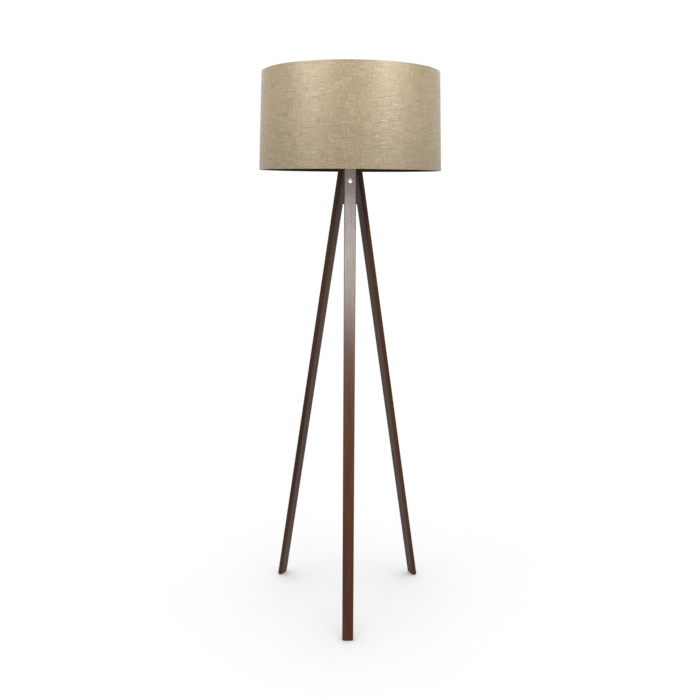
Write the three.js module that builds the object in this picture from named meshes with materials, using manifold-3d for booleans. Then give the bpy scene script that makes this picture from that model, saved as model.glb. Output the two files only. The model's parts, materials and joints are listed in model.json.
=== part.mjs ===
// Tripod floor lamp: three flat hardwood legs bolted to a small tapered hub block, with a
// threaded tube through the hub that carries an E27 lampholder, a drum shade and an LED bulb.
// Millimetres, +Z up. The origin is on the floor, on the axis of the hub; one leg points
// towards -Y and the other two stand 120 degrees either side of it.

import * as THREE from 'three';
import { ConvexGeometry } from 'three/addons/geometries/ConvexGeometry.js';
import { mergeVertices } from 'three/addons/utils/BufferGeometryUtils.js';
import Module from 'manifold-3d';

const wasm = await Module();
wasm.setup();

// ---------------------------------------------------------------- driving dimensions

const GAP = 0.3; // clearance left between pieces that touch
const ROUND = 24; // sides of a turned piece
const SMALL_ROUND = 16; // sides of a bolt, pin or hole
const OVERSHOOT = 5; // how far a cutting tool stands out of the face it cuts

// Legs
const FOOT_OUTER_RADIUS = 255; // outer face of a leg, carried down to the floor
const LEG_LEAN = 0.1744; // millimetres inwards per millimetre up
const LEG_THICKNESS = 14.2; // measured horizontally, along the radius
const LEG_WIDTH_AT_FOOT = 31;
const LEG_WIDTH_AT_TOP = 32.7;
const LEG_TOP_Z = 1300;
const LEG_AZIMUTHS = { front: 0, right: 120, left: 240 }; // degrees round Z from -Y

// Felt glides under the feet
const GLIDE_HEIGHT = 2;
const GLIDE_WIDTH = 27;
const GLIDE_DEPTH = 10.4;

// Hub block
const HUB_BOTTOM_Z = 1200;
const HUB_FACE_WIDTH = 31.4;
const HUB_BORE_RADIUS = 5.6;

// Leg bolts, insert nuts and dowels
const BOLT_Z = 1263;
const BOLT_HEAD_RADIUS = 6.6;
const BOLT_HEAD_HEIGHT = 3;
const BOLT_SHANK_RADIUS = 3;
const BOLT_LENGTH = 24;
const HEX_KEY_ACROSS_CORNERS = 4.6;
const HEX_KEY_DEPTH = 1.9;
const LEG_HOLE_RADIUS = 3.3;
const INSERT_RADIUS = 4.7;
const INSERT_LENGTH = 11;
const DOWEL_Z = 1228;
const DOWEL_RADIUS = 3;
const DOWEL_LENGTH = 18;

// Threaded tube through the hub
const NIPPLE_RADIUS = 5;
const NIPPLE_BORE_RADIUS = 3.8;
const NIPPLE_BOTTOM_Z = 1190;
const NIPPLE_TOP_Z = 1312;
const SEAT_WASHER_RADIUS = 15;
const SEAT_WASHER_THICKNESS = 2;
const LOWER_WASHER_RADIUS = 10;
const NUT_ACROSS_CORNERS = 16.2;
const NUT_HEIGHT = 4;
const BUSH_RADIUS = 6.2;
const BUSH_BORE_RADIUS = 3.3;
const BUSH_HEIGHT = 2.7;

// Lampholder
const HOLDER_BASE_Z = LEG_TOP_Z + GAP + SEAT_WASHER_THICKNESS + GAP;
const HOLDER_COLLAR_TOP_Z = 1308;
const HOLDER_FLARE_TOP_Z = 1315;
const HOLDER_JOINT_Z = 1328;
const HOLDER_TOP_Z = 1363.5;
const HOLDER_RADIUS = 19.3;
const HOLDER_BORE_RADIUS = 17.3;
const HOLDER_COLLAR_RADIUS = 9;
const HOLDER_LIP_RADIUS = 14.1;
const HOLDER_LIP_THICKNESS = 2;
const MANTLE_THREAD_CREST = 19.7;
const MANTLE_THREAD_ROOT = 18.9;
const MANTLE_THREAD_PITCH = 4;
const MANTLE_THREAD_TURNS = 7;
const INSULATOR_BOTTOM_Z = 1319;
const INSULATOR_TOP_Z = 1333;
const TERMINAL_OFFSET = 8;
const TERMINAL_HEAD_RADIUS = 3;
const TERMINAL_HEAD_HEIGHT = 2.3;
const TERMINAL_SHANK_RADIUS = 1.4;
const TERMINAL_SHANK_TOP_Z = 1329;

// E27 thread, seven turns to the inch, as rounded waves on both shells
const THREAD_PITCH = 25.4 / 7;
const THREAD_WAVE = 0.55;
const CAP_THREAD_RADIUS = 12.62;
const THREAD_CLEARANCE = 0.42;
const THREAD_SEGMENTS = 20;
const ROWS_PER_TURN = 5;
const SHELL_OUTER_RADIUS = 14.8;
const SHELL_TOP_Z = 1361;

// Shade rings and carrier
const RING_BORE_RADIUS = 20.1;
const RING_FLANGE_RADIUS = 29;
const RING_FLANGE_THICKNESS = 2;
const RING_COLLAR_WALL = 3;
const LOWER_COLLAR_HEIGHT = 2;
const UPPER_COLLAR_HEIGHT = 6;
const CARRIER_Z = 1333.2;
const CARRIER_THICKNESS = 1.6;
const CARRIER_BORE_RADIUS = 20.6;
const CARRIER_RADIUS = 33;
const ARM_RADIUS = 1.6;
const ARM_ELBOW_RADIUS = 228; // where the arm leaves the level of the bottom wire
const ARM_KNEE_RADIUS = 48; // where it levels off at the carrier ring
const ARM_BEND_REACH = 12; // length of each bend on its sloping side
const ARM_AZIMUTHS = { back: 180, left: 300, right: 60 };

// Shade
const SHADE_BOTTOM_Z = 1291;
const SHADE_TOP_Z = 1545;
const SHADE_BOTTOM_RADIUS = 250;
const SHADE_TOP_RADIUS = 239.3;
const SHADE_SEGMENTS = 48;
const HEM_THICKNESS = 0.7;
const SKIN_THICKNESS = 0.8;
const SKIN_GAP = 0.2;
const WIRE_RADIUS = 1.5;

// Bulb
const BULB_TIP_Z = 1338;
const CAP_BOTTOM_Z = 1341.6;
const CAP_TOP_Z = 1364.5;
const CAP_RIM_Z = 1341.1;
const CAP_RIM_RADIUS = 9;
const CAP_COLLAR_RADIUS = 13.2;
const CAP_BORE_RADIUS = 11.6;
const CONTACT_HEIGHT = 1;
const CONTACT_RADIUS = 3;
const HOUSING_TOP_Z = 1402;
const BULB_RADIUS = 30;
const BULB_TOP_Z = 1442;
const BULB_WALL = 1.2;
const LED_BOARD_RADIUS = 25;
const LED_BOARD_THICKNESS = 1.6;
const LED_COUNT = 9;
const LED_CIRCLE_RADIUS = 15;
const DRIVER_BOARD_Z = 1372;

// ---------------------------------------------------------------- materials

function finish(color, roughness, metalness = 0) {
  return () => new THREE.MeshStandardMaterial({ color, roughness, metalness });
}

const walnut = finish(0x5e4031, 0.35);
const darkWood = finish(0x3a2c24, 0.5);
const beech = finish(0xb48a5c, 0.6);
const felt = finish(0x2b2522, 0.95);
const nickel = finish(0xd8d2c8, 0.22, 1);
const zinc = finish(0xb9bcbc, 0.4, 1);
const brass = finish(0xc8a24a, 0.3, 1);
const blackPlastic = finish(0x161616, 0.45);
const ceramic = finish(0xe6e1d6, 0.35);
const blackWire = finish(0x1c1b1a, 0.5, 0.6);
const linen = finish(0xb09f7c, 0.95);
const darkLiner = finish(0x24221f, 0.8);
const opal = finish(0xf3f1ea, 0.35);
const whitePlastic = finish(0xeceae4, 0.4);
const capMetal = finish(0xc9c9c6, 0.3, 1);
const blackGlass = finish(0x101012, 0.15);
const boardGreen = finish(0x2f5a3a, 0.5);

// ---------------------------------------------------------------- geometry helpers

function merged(geometry) {
  const bare = geometry.clone();
  bare.deleteAttribute('normal');
  bare.deleteAttribute('uv');
  return mergeVertices(bare, 1e-4);
}

function solid(geometry) {
  const bare = merged(geometry);
  return new wasm.Manifold(new wasm.Mesh({
    numProp: 3,
    vertProperties: new Float32Array(bare.attributes.position.array),
    triVerts: new Uint32Array(bare.index.array),
  }));
}

function geometryOf(manifold) {
  const mesh = manifold.getMesh();
  const geometry = new THREE.BufferGeometry();
  geometry.setAttribute('position', new THREE.BufferAttribute(mesh.vertProperties, 3));
  geometry.setIndex(new THREE.BufferAttribute(mesh.triVerts, 1));
  return geometry;
}

function cut(geometry, ...tools) {
  return geometryOf(tools.reduce((left, tool) => left.subtract(solid(tool)), solid(geometry)));
}

function join(geometry, ...others) {
  return geometryOf(others.reduce((sum, other) => sum.add(solid(other)), solid(geometry)));
}

// Turned piece: a closed profile of [radius, z] points, anticlockwise with z up.
function turned(profile, segments) {
  const points = [...profile, profile[0]].map(([radius, z]) => new THREE.Vector2(radius, z));
  return new THREE.LatheGeometry(points, segments).rotateX(Math.PI / 2);
}

function pipe(innerRadius, outerRadius, bottom, top, segments) {
  const profile = [
    [innerRadius, bottom],
    [outerRadius, bottom],
    [outerRadius, top],
    [innerRadius, top],
  ];
  return turned(profile, segments);
}

// Upright rod between two heights, on the Z axis.
function rod(radius, bottom, top, segments = SMALL_ROUND) {
  const geometry = new THREE.CylinderGeometry(radius, radius, top - bottom, segments);
  return geometry.rotateX(Math.PI / 2).translate(0, 0, (bottom + top) / 2);
}

function box(width, depth, height, x, y, z) {
  return new THREE.BoxGeometry(width, depth, height).translate(x, y, z);
}

// Round bar along a curve.
function bar(curve, radius, steps, sides) {
  const section = new THREE.Shape();
  for (let i = 0; i < sides; i += 1) {
    const angle = (i / sides) * 2 * Math.PI;
    const point = [radius * Math.cos(angle), radius * Math.sin(angle)];
    if (i === 0) {
      section.moveTo(...point);
    } else {
      section.lineTo(...point);
    }
  }
  section.closePath();
  return new THREE.ExtrudeGeometry(section, { steps, extrudePath: curve, bevelEnabled: false });
}

const lamp = new THREE.Group();

function add(parent, name, geometry, material) {
  const mesh = new THREE.Mesh(merged(geometry), material());
  mesh.name = name;
  parent.add(mesh);
}

function station(azimuthDegrees) {
  const group = new THREE.Group();
  group.rotation.z = THREE.MathUtils.degToRad(azimuthDegrees);
  lamp.add(group);
  return group;
}

// ---------------------------------------------------------------- legs and hub

const legOuterRadius = (z) => FOOT_OUTER_RADIUS - LEG_LEAN * z;
const legInnerRadius = (z) => legOuterRadius(z) - LEG_THICKNESS;
const legTilt = Math.atan(LEG_LEAN);

function legWidth(z) {
  return LEG_WIDTH_AT_FOOT + (LEG_WIDTH_AT_TOP - LEG_WIDTH_AT_FOOT) * (z / LEG_TOP_Z);
}

// Moves a piece drawn along +Z so that its origin is on the front leg's face of the given
// radius at height z, with +Z along that face's outward normal.
function squareToLeg(geometry, radius, z) {
  return geometry.rotateX(Math.PI / 2 - legTilt).translate(0, -radius, z);
}

// Height at which the bolt's slanting axis leaves the leg's inner face.
const innerBoltZ = BOLT_Z - LEG_THICKNESS * Math.sin(legTilt) * Math.cos(legTilt);

function legBlank() {
  const bottom = GLIDE_HEIGHT + GAP;
  const corners = [];
  for (const z of [bottom, LEG_TOP_Z]) {
    for (const radius of [legInnerRadius(z), legOuterRadius(z)]) {
      for (const side of [-1, 1]) {
        corners.push(new THREE.Vector3((side * legWidth(z)) / 2, -radius, z));
      }
    }
  }
  return new ConvexGeometry(corners);
}

function leg() {
  const boltHole = rod(LEG_HOLE_RADIUS, -2 * LEG_THICKNESS, OVERSHOOT);
  const dowelHole = rod(DOWEL_RADIUS + GAP, -OVERSHOOT, DOWEL_LENGTH / 2 + GAP);
  return cut(
    legBlank(),
    squareToLeg(boltHole, legOuterRadius(BOLT_Z), BOLT_Z),
    squareToLeg(dowelHole, legInnerRadius(DOWEL_Z), DOWEL_Z),
  );
}

function glide() {
  const end = GLIDE_DEPTH / 2;
  const half = GLIDE_WIDTH / 2 - end;
  const outline = new THREE.Shape();
  outline.absarc(half, 0, end, -Math.PI / 2, Math.PI / 2, false);
  outline.absarc(-half, 0, end, Math.PI / 2, (3 * Math.PI) / 2, false);
  const settings = { depth: GLIDE_HEIGHT, bevelEnabled: false, curveSegments: 8 };
  const centre = FOOT_OUTER_RADIUS - LEG_THICKNESS / 2;
  return new THREE.ExtrudeGeometry(outline, settings).translate(0, -centre, 0);
}

function hubBlock() {
  const corners = [];
  for (const azimuth of Object.values(LEG_AZIMUTHS)) {
    const turn = THREE.MathUtils.degToRad(azimuth);
    for (const z of [HUB_BOTTOM_Z, LEG_TOP_Z]) {
      for (const side of [-1, 1]) {
        const corner = new THREE.Vector3(
          (side * HUB_FACE_WIDTH) / 2,
          -(legInnerRadius(z) - GAP),
          z,
        );
        corners.push(corner.applyAxisAngle(new THREE.Vector3(0, 0, 1), turn));
      }
    }
  }
  const tools = [rod(HUB_BORE_RADIUS, HUB_BOTTOM_Z - OVERSHOOT, LEG_TOP_Z + OVERSHOOT)];
  for (const azimuth of Object.values(LEG_AZIMUTHS)) {
    const turn = THREE.MathUtils.degToRad(azimuth);
    const insertHole = rod(INSERT_RADIUS + GAP, -INSERT_LENGTH - 2 * GAP, OVERSHOOT);
    const dowelHole = rod(DOWEL_RADIUS + GAP, -DOWEL_LENGTH / 2 - 2 * GAP, OVERSHOOT);
    tools.push(squareToLeg(insertHole, legInnerRadius(innerBoltZ), innerBoltZ).rotateZ(turn));
    tools.push(squareToLeg(dowelHole, legInnerRadius(DOWEL_Z), DOWEL_Z).rotateZ(turn));
  }
  return cut(new ConvexGeometry(corners), ...tools);
}

function legBolt() {
  const rim = BOLT_HEAD_RADIUS;
  const top = GAP + BOLT_HEAD_HEIGHT;
  const profile = [
    [0, -BOLT_LENGTH],
    [BOLT_SHANK_RADIUS, -BOLT_LENGTH],
    [BOLT_SHANK_RADIUS, GAP],
    [rim, GAP],
    [rim, GAP + BOLT_HEAD_HEIGHT * 0.6],
    [rim - 1, top],
    [0, top],
  ];
  const points = profile.map(([radius, z]) => new THREE.Vector2(radius, z));
  const body = new THREE.LatheGeometry(points, SMALL_ROUND).rotateX(Math.PI / 2);
  const socket = rod(HEX_KEY_ACROSS_CORNERS / 2, top - HEX_KEY_DEPTH, top + OVERSHOOT, 6);
  return squareToLeg(cut(body, socket), legOuterRadius(BOLT_Z), BOLT_Z);
}

function insertNut() {
  const nut = pipe(LEG_HOLE_RADIUS, INSERT_RADIUS, -INSERT_LENGTH - GAP, -2 * GAP, SMALL_ROUND);
  return squareToLeg(nut, legInnerRadius(innerBoltZ), innerBoltZ);
}

function dowel() {
  const pin = rod(DOWEL_RADIUS, -DOWEL_LENGTH / 2, DOWEL_LENGTH / 2);
  return squareToLeg(pin, legInnerRadius(DOWEL_Z), DOWEL_Z);
}

for (const [side, azimuth] of Object.entries(LEG_AZIMUTHS)) {
  const group = station(azimuth);
  add(group, `leg_${side}`, leg(), walnut);
  add(group, `foot_glide_${side}`, glide(), felt);
  add(group, `leg_bolt_${side}`, legBolt(), nickel);
  add(group, `insert_nut_${side}`, insertNut(), zinc);
  add(group, `leg_dowel_${side}`, dowel(), beech);
}
add(lamp, 'hub_block', hubBlock(), darkWood);

// ---------------------------------------------------------------- threaded tube

const nippleHoleRadius = NIPPLE_RADIUS + GAP;

function hexNut(top) {
  const blank = rod(NUT_ACROSS_CORNERS / 2, top - NUT_HEIGHT, top, 6);
  return cut(blank, rod(nippleHoleRadius, top - NUT_HEIGHT - OVERSHOOT, top + OVERSHOOT));
}

const seatWasherZ = LEG_TOP_Z + GAP;
const lowerWasherTop = HUB_BOTTOM_Z - GAP;
const lowerWasherBottom = lowerWasherTop - SEAT_WASHER_THICKNESS;
const bushTop = NIPPLE_BOTTOM_Z - GAP;

add(
  lamp,
  'nipple',
  pipe(NIPPLE_BORE_RADIUS, NIPPLE_RADIUS, NIPPLE_BOTTOM_Z, NIPPLE_TOP_Z, SMALL_ROUND),
  zinc,
);
add(
  lamp,
  'seat_washer',
  pipe(nippleHoleRadius, SEAT_WASHER_RADIUS, seatWasherZ, seatWasherZ + SEAT_WASHER_THICKNESS, ROUND),
  zinc,
);
add(
  lamp,
  'nipple_washer',
  pipe(nippleHoleRadius, LOWER_WASHER_RADIUS, lowerWasherBottom, lowerWasherTop, ROUND),
  zinc,
);
add(lamp, 'nipple_nut', hexNut(lowerWasherBottom - GAP), zinc);
add(
  lamp,
  'cord_bush',
  pipe(BUSH_BORE_RADIUS, BUSH_RADIUS, bushTop - BUSH_HEIGHT, bushTop, SMALL_ROUND),
  blackPlastic,
);

// ---------------------------------------------------------------- lampholder

function holderBase() {
  const wall = HOLDER_RADIUS - HOLDER_BORE_RADIUS;
  const profile = [
    [nippleHoleRadius, HOLDER_BASE_Z],
    [HOLDER_COLLAR_RADIUS, HOLDER_BASE_Z],
    [HOLDER_COLLAR_RADIUS, HOLDER_COLLAR_TOP_Z],
    [HOLDER_RADIUS, HOLDER_FLARE_TOP_Z],
    [HOLDER_RADIUS, HOLDER_JOINT_Z],
    [HOLDER_BORE_RADIUS, HOLDER_JOINT_Z],
    [HOLDER_BORE_RADIUS, HOLDER_FLARE_TOP_Z + wall],
    [HOLDER_COLLAR_RADIUS - wall / 2, HOLDER_COLLAR_TOP_Z + wall],
    [nippleHoleRadius, HOLDER_COLLAR_TOP_Z + wall],
  ];
  return turned(profile, ROUND);
}

function holderSleeve() {
  const lipBottom = HOLDER_TOP_Z - HOLDER_LIP_THICKNESS;
  const plainBand = 1.3;
  const chamfer = 1;
  const threadBottom = HOLDER_JOINT_Z + plainBand;
  const profile = [
    [HOLDER_BORE_RADIUS, HOLDER_JOINT_Z + GAP],
    [MANTLE_THREAD_ROOT, HOLDER_JOINT_Z + GAP],
  ];
  for (let i = 0; i < MANTLE_THREAD_TURNS; i += 1) {
    const z = threadBottom + i * MANTLE_THREAD_PITCH;
    profile.push([MANTLE_THREAD_ROOT, z]);
    profile.push([MANTLE_THREAD_CREST, z + MANTLE_THREAD_PITCH / 2]);
  }
  profile.push([MANTLE_THREAD_ROOT, threadBottom + MANTLE_THREAD_TURNS * MANTLE_THREAD_PITCH]);
  profile.push([MANTLE_THREAD_ROOT, HOLDER_TOP_Z - chamfer]);
  profile.push([MANTLE_THREAD_ROOT - chamfer, HOLDER_TOP_Z]);
  profile.push([HOLDER_LIP_RADIUS, HOLDER_TOP_Z]);
  profile.push([HOLDER_LIP_RADIUS, lipBottom]);
  profile.push([HOLDER_BORE_RADIUS, lipBottom]);
  return turned(profile, ROUND);
}

function holderInsulator() {
  const block = rod(HOLDER_BORE_RADIUS - 0.4, INSULATOR_BOTTOM_Z, INSULATOR_TOP_Z, ROUND);
  const holeRadius = TERMINAL_SHANK_RADIUS + 0.4;
  const holeTop = TERMINAL_SHANK_TOP_Z + 1;
  const holes = [-1, 1].map((side) => {
    const hole = rod(holeRadius, INSULATOR_BOTTOM_Z - OVERSHOOT, holeTop, 12);
    return hole.translate(side * TERMINAL_OFFSET, 0, 0);
  });
  return cut(block, ...holes);
}

function terminalScrew(side) {
  const headTop = INSULATOR_BOTTOM_Z - GAP;
  const headBottom = headTop - TERMINAL_HEAD_HEIGHT;
  const head = rod(TERMINAL_HEAD_RADIUS, headBottom, headTop);
  const shank = rod(TERMINAL_SHANK_RADIUS, headTop - 1, TERMINAL_SHANK_TOP_Z, 12);
  const slotWidth = 0.8;
  const slotDepth = 0.6;
  const slot = box(4 * TERMINAL_HEAD_RADIUS, slotWidth, 2 * slotDepth, 0, 0, headBottom);
  return cut(join(head, shank), slot).translate(side * TERMINAL_OFFSET, 0, 0);
}

// Bent leaf: a foot on the insulator, a ramp and a raised tip under the bulb's contact.
function centreContact() {
  const thickness = 0.6;
  const width = 5;
  const footEnd = -10;
  const rampStart = -5;
  const rampEnd = -2;
  const tipEnd = 3;
  const setBack = 0.4; // of the upper surface's bends behind the lower one's
  const foot = INSULATOR_TOP_Z + GAP;
  const tip = BULB_TIP_Z - GAP - thickness;
  const outline = new THREE.Shape();
  outline.moveTo(footEnd, foot);
  outline.lineTo(rampStart, foot);
  outline.lineTo(rampEnd, tip);
  outline.lineTo(tipEnd, tip);
  outline.lineTo(tipEnd, tip + thickness);
  outline.lineTo(rampEnd - setBack, tip + thickness);
  outline.lineTo(rampStart - setBack, foot + thickness);
  outline.lineTo(footEnd, foot + thickness);
  outline.closePath();
  const leaf = new THREE.ExtrudeGeometry(outline, { depth: width, bevelEnabled: false });
  return leaf.rotateX(Math.PI / 2).translate(0, width / 2, 0);
}

// Rows of a threaded wall, from bottom to top, at one radius.
function threadRows(radius, bottom, top) {
  const count = Math.ceil(((top - bottom) / THREAD_PITCH) * ROWS_PER_TURN);
  return Array.from({ length: count + 1 }, (unused, i) => [
    radius,
    bottom + ((top - bottom) * i) / count,
  ]);
}

// Turns the plain wall of the given radius into a right-handed rounded thread. The wave
// grows from nothing over the first and last half turn.
function waveThread(geometry, wallRadius, bottom, top, radiusAt) {
  const position = geometry.attributes.position;
  for (let i = 0; i < position.count; i += 1) {
    const x = position.getX(i);
    const y = position.getY(i);
    const z = position.getZ(i);
    const radius = Math.hypot(x, y);
    if (Math.abs(radius - wallRadius) < 0.01 && z >= bottom - 0.01 && z <= top + 0.01) {
      const fromEnd = Math.min(z - bottom, top - z) / (THREAD_PITCH / 2);
      const strength = Math.min(1, Math.max(0, fromEnd));
      const phase = (2 * Math.PI * z) / THREAD_PITCH - Math.atan2(y, x);
      const scale = radiusAt(strength, Math.cos(phase)) / radius;
      position.setXY(i, x * scale, y * scale);
    }
  }
  return geometry;
}

// Socket thread: opens out to its widest radius where the wave fades.
function screwShell() {
  const bottom = INSULATOR_TOP_Z + GAP;
  const threadBottom = CAP_BOTTOM_Z;
  const widest = CAP_THREAD_RADIUS + THREAD_CLEARANCE + THREAD_WAVE;
  const profile = [
    [widest + GAP, bottom],
    [SHELL_OUTER_RADIUS, bottom],
    [SHELL_OUTER_RADIUS, SHELL_TOP_Z],
    ...threadRows(widest, threadBottom, SHELL_TOP_Z).reverse(),
  ];
  const shell = merged(turned(profile, THREAD_SEGMENTS));
  const socketRadius = (strength, wave) => widest - strength * THREAD_WAVE * (1 - wave);
  return waveThread(shell, widest, threadBottom, SHELL_TOP_Z, socketRadius);
}

add(lamp, 'lampholder_base', holderBase(), blackPlastic);
add(lamp, 'lampholder_sleeve', holderSleeve(), blackPlastic);
add(lamp, 'lampholder_insulator', holderInsulator(), ceramic);
add(lamp, 'lampholder_screw_shell', screwShell(), brass);
add(lamp, 'lampholder_centre_contact', centreContact(), brass);
add(lamp, 'terminal_screw_live', terminalScrew(-1), brass);
add(lamp, 'terminal_screw_neutral', terminalScrew(1), brass);

// ---------------------------------------------------------------- shade rings and carrier

const carrierTop = CARRIER_Z + CARRIER_THICKNESS;

// Flange against the carrier, with a collar on the side away from it.
function shadeRing(flangeFace, direction, collarHeight) {
  const flangeBack = flangeFace + direction * RING_FLANGE_THICKNESS;
  const collarEnd = flangeBack + direction * collarHeight;
  const profile = [
    [RING_BORE_RADIUS, flangeFace],
    [RING_FLANGE_RADIUS, flangeFace],
    [RING_FLANGE_RADIUS, flangeBack],
    [RING_BORE_RADIUS + RING_COLLAR_WALL, flangeBack],
    [RING_BORE_RADIUS + RING_COLLAR_WALL, collarEnd],
    [RING_BORE_RADIUS, collarEnd],
  ];
  return turned(direction > 0 ? profile : profile.reverse(), ROUND);
}

// Wire from the top of the bottom ring, rising to the edge of the carrier.
function carrierArm() {
  const outerZ = SHADE_BOTTOM_Z + HEM_THICKNESS + 2 * SKIN_GAP + 2 * WIRE_RADIUS + ARM_RADIUS;
  const innerZ = CARRIER_Z + CARRIER_THICKNESS / 2;
  const path = new THREE.CurvePath();
  const endPastWire = 0.5;
  const outer = new THREE.Vector3(0, -(wireRingRadius(SHADE_BOTTOM_Z) + endPastWire), outerZ);
  const elbow = new THREE.Vector3(0, -ARM_ELBOW_RADIUS, outerZ);
  const knee = new THREE.Vector3(0, -ARM_KNEE_RADIUS, innerZ);
  const inner = new THREE.Vector3(0, -(CARRIER_RADIUS + GAP), innerZ);
  const alongSlope = new THREE.Vector3().subVectors(knee, elbow).setLength(ARM_BEND_REACH);
  const afterElbow = elbow.clone().add(alongSlope);
  const beforeKnee = knee.clone().sub(alongSlope);
  const beforeElbow = elbow.clone().add(new THREE.Vector3(0, -ARM_BEND_REACH, 0));
  const afterKnee = knee.clone().add(new THREE.Vector3(0, ARM_BEND_REACH / 2, 0));
  path.add(new THREE.LineCurve3(outer, beforeElbow));
  path.add(new THREE.QuadraticBezierCurve3(beforeElbow, elbow, afterElbow));
  path.add(new THREE.LineCurve3(afterElbow, beforeKnee));
  path.add(new THREE.QuadraticBezierCurve3(beforeKnee, knee, afterKnee));
  path.add(new THREE.LineCurve3(afterKnee, inner));
  return bar(path, ARM_RADIUS, 18, 6);
}

function shadeRadius(z) {
  const share = (z - SHADE_BOTTOM_Z) / (SHADE_TOP_Z - SHADE_BOTTOM_Z);
  return SHADE_BOTTOM_RADIUS + (SHADE_TOP_RADIUS - SHADE_BOTTOM_RADIUS) * share;
}

// Depths of the liner and the wires below the fabric's outer face.
const linerDepth = SKIN_THICKNESS + SKIN_GAP;
const wireDepth = linerDepth + SKIN_THICKNESS + SKIN_GAP;

function wireRingRadius(z) {
  return shadeRadius(z) - wireDepth - WIRE_RADIUS;
}

add(lamp, 'shade_ring_lower', shadeRing(CARRIER_Z - SKIN_GAP, -1, LOWER_COLLAR_HEIGHT), blackPlastic);
add(lamp, 'shade_ring_upper', shadeRing(carrierTop + SKIN_GAP, 1, UPPER_COLLAR_HEIGHT), blackPlastic);
add(
  lamp,
  'shade_carrier_ring',
  pipe(CARRIER_BORE_RADIUS, CARRIER_RADIUS, CARRIER_Z, carrierTop, ROUND),
  blackWire,
);
for (const [side, azimuth] of Object.entries(ARM_AZIMUTHS)) {
  add(station(azimuth), `shade_carrier_arm_${side}`, carrierArm(), blackWire);
}

// ---------------------------------------------------------------- shade

function shadeSkin(depth) {
  const inset = HEM_THICKNESS + SKIN_GAP;
  const bottom = SHADE_BOTTOM_Z + inset;
  const top = SHADE_TOP_Z - inset;
  const profile = [
    [shadeRadius(bottom) - depth - SKIN_THICKNESS, bottom],
    [shadeRadius(bottom) - depth, bottom],
    [shadeRadius(top) - depth, top],
    [shadeRadius(top) - depth - SKIN_THICKNESS, top],
  ];
  return turned(profile, SHADE_SEGMENTS);
}

function wireRing(rimZ, inwards) {
  const ringZ = rimZ + inwards * (HEM_THICKNESS + SKIN_GAP + WIRE_RADIUS);
  const ring = new THREE.TorusGeometry(wireRingRadius(rimZ), WIRE_RADIUS, 6, SHADE_SEGMENTS);
  return ring.translate(0, 0, ringZ);
}

// The fabric's turned-in edge: flush outside, across the rim, and back over the wire.
function hem(rimZ, inwards) {
  const webZ = rimZ + inwards * HEM_THICKNESS;
  const wireHeight = 2 * WIRE_RADIUS;
  const innerEnd = rimZ + inwards * (HEM_THICKNESS + SKIN_GAP + 0.9 * wireHeight);
  const innerFace = wireRingRadius(rimZ) - WIRE_RADIUS - SKIN_GAP;
  const profile = [
    [innerFace - HEM_THICKNESS, rimZ],
    [shadeRadius(rimZ), rimZ],
    [shadeRadius(webZ), webZ],
    [innerFace, webZ],
    [innerFace, innerEnd],
    [innerFace - HEM_THICKNESS, innerEnd],
  ];
  return turned(inwards > 0 ? profile : profile.reverse(), SHADE_SEGMENTS);
}

add(lamp, 'shade_fabric', shadeSkin(0), linen);
add(lamp, 'shade_liner', shadeSkin(linerDepth), darkLiner);
add(lamp, 'shade_bottom_wire', wireRing(SHADE_BOTTOM_Z, 1), blackWire);
add(lamp, 'shade_top_wire', wireRing(SHADE_TOP_Z, -1), blackWire);
add(lamp, 'shade_bottom_hem', hem(SHADE_BOTTOM_Z, 1), linen);
add(lamp, 'shade_top_hem', hem(SHADE_TOP_Z, -1), linen);

// ---------------------------------------------------------------- bulb

function bulbCap() {
  const threadBottom = CAP_BOTTOM_Z + 1.4;
  const threadTop = CAP_TOP_Z - 3;
  const root = CAP_THREAD_RADIUS - THREAD_WAVE;
  const collarHeight = 1.5;
  const profile = [
    [CAP_RIM_RADIUS - 0.6, CAP_RIM_Z],
    [CAP_RIM_RADIUS, CAP_RIM_Z],
    ...threadRows(root, threadBottom, threadTop),
    [CAP_COLLAR_RADIUS, CAP_TOP_Z - collarHeight],
    [CAP_COLLAR_RADIUS, CAP_TOP_Z],
    [CAP_BORE_RADIUS, CAP_TOP_Z],
    [CAP_BORE_RADIUS, threadBottom],
  ];
  const shell = merged(turned(profile, THREAD_SEGMENTS));
  const capRadius = (strength, wave) => root + strength * THREAD_WAVE * (1 + wave);
  return waveThread(shell, root, threadBottom, threadTop, capRadius);
}

function capInsulator() {
  const bottom = BULB_TIP_Z + CONTACT_HEIGHT;
  const profile = [
    [CONTACT_RADIUS, bottom],
    [2 * CONTACT_RADIUS, bottom],
    [CAP_RIM_RADIUS - 0.4, CAP_RIM_Z - GAP],
    [CONTACT_RADIUS, CAP_RIM_Z - GAP],
  ];
  return turned(profile, SMALL_ROUND);
}

function bulbContact() {
  const top = BULB_TIP_Z + CONTACT_HEIGHT - GAP;
  const profile = [
    [0, BULB_TIP_Z],
    [CONTACT_RADIUS, BULB_TIP_Z],
    [1.5 * CONTACT_RADIUS, top],
    [0, top],
  ];
  const points = profile.map(([radius, z]) => new THREE.Vector2(radius, z));
  return new THREE.LatheGeometry(points, SMALL_ROUND).rotateX(Math.PI / 2);
}

function bulbHousing() {
  const bottom = CAP_TOP_Z + GAP;
  const outer = [
    [13.6, bottom],
    [14.6, bottom + 4],
    [19, bottom + 16],
    [25, bottom + 28],
    [28.6, HOUSING_TOP_Z],
  ];
  const inner = outer.map(([radius, z]) => [radius - BULB_WALL, z]).reverse();
  return turned([...outer, ...inner], ROUND);
}

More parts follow.
